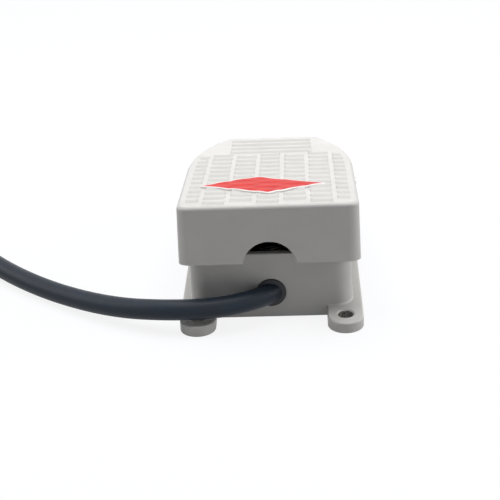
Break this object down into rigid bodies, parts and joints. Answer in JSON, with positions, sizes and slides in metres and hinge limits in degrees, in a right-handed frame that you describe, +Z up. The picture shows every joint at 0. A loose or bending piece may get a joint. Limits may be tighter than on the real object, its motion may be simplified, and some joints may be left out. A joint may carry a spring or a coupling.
{
  "type": "industrial foot switch",
  "caption": "Foot switch with a hinged, woven-relief pedal cover over a four-eared cast base, a spring-returned contact block inside and a cable lead out of the toe end.",
  "frame": {"origin": "on the floor plane under the middle of the base, midway between the four ears", "axes": "+X to the right seen from the toe, +Y from the toe (cable) end to the heel, +Z up"},
  "size_m": [0.3317, 0.1699, 0.0601],
  "materials": {
    "painted_die_casting": "warm grey enamel, satin",
    "printed_film": "red film, gloss",
    "bright_steel": "ground",
    "nylon": "natural",
    "spring_steel": "drawn wire",
    "black_rubber": "matt",
    "zinc_plated_steel": "bright zinc plate",
    "phenolic": "moulded, satin",
    "cream_acetal": "moulded",
    "brass": "pressed strip",
    "brown_pvc": "extruded",
    "blue_pvc": "extruded",
    "green_pvc": "green and yellow, extruded",
    "tinned_copper": "tinned",
    "black_pvc": "extruded, slight sheen"
  },
  "bodies": {
    "base": {"base_housing": "painted_die_casting", "hinge_pin": "bright_steel", "hinge_washers": "nylon", "return_spring": "spring_steel", "toe_stop_pads": "black_rubber", "heel_stop_pad": "black_rubber", "contact_case": "phenolic", "contact_case_cover": "phenolic", "contact_cover_screws": "zinc_plated_steel", "contact_mounting_screws": "zinc_plated_steel", "plunger_spring": "spring_steel", "left_break_contact": "brass", "left_make_contact": "brass", "right_break_contact": "brass", "right_make_contact": "brass", "terminal_screws": "zinc_plated_steel", "cable_grommet": "black_rubber", "cable_clamp": "zinc_plated_steel", "cable_clamp_screws": "zinc_plated_steel", "live_core": "brown_pvc", "switched_core": "blue_pvc", "earth_core": "green_pvc", "earth_lug": "tinned_copper", "earth_screw": "brass", "supply_cable": "black_pvc", "cable_coil": "black_pvc", "cable_end_cores": "brown_pvc"},
    "pedal": {"pedal_cover": "painted_die_casting", "pedal_label": "printed_film", "actuator_screw": "zinc_plated_steel", "actuator_locknut": "zinc_plated_steel"},
    "plunger": {"contact_plunger": "cream_acetal", "contact_bridge": "brass"}
  },
  "joints": [
    {"name": "pedal_hinge", "type": "hinge", "parent": "base", "child": "pedal", "pos_m": [0, 0.017, 0.0348], "axis": [1, 0, 0], "range_deg": [0, 6], "stiffness_Nm_per_rad": 4.1, "springref_deg": -5.44, "deforming": ["return_spring"]},
    {"name": "plunger_slide", "type": "slide", "parent": "base", "child": "plunger", "axis": [0, 0, -1], "range_m": [0, 0.00265], "stiffness_N_per_m": 400, "springref_m": -0.003, "deforming": ["plunger_spring"]}
  ],
  "couplings": [
    {"joint": "plunger_slide", "follows": "pedal_hinge", "m_per_rad": 0.02495}
  ]
}
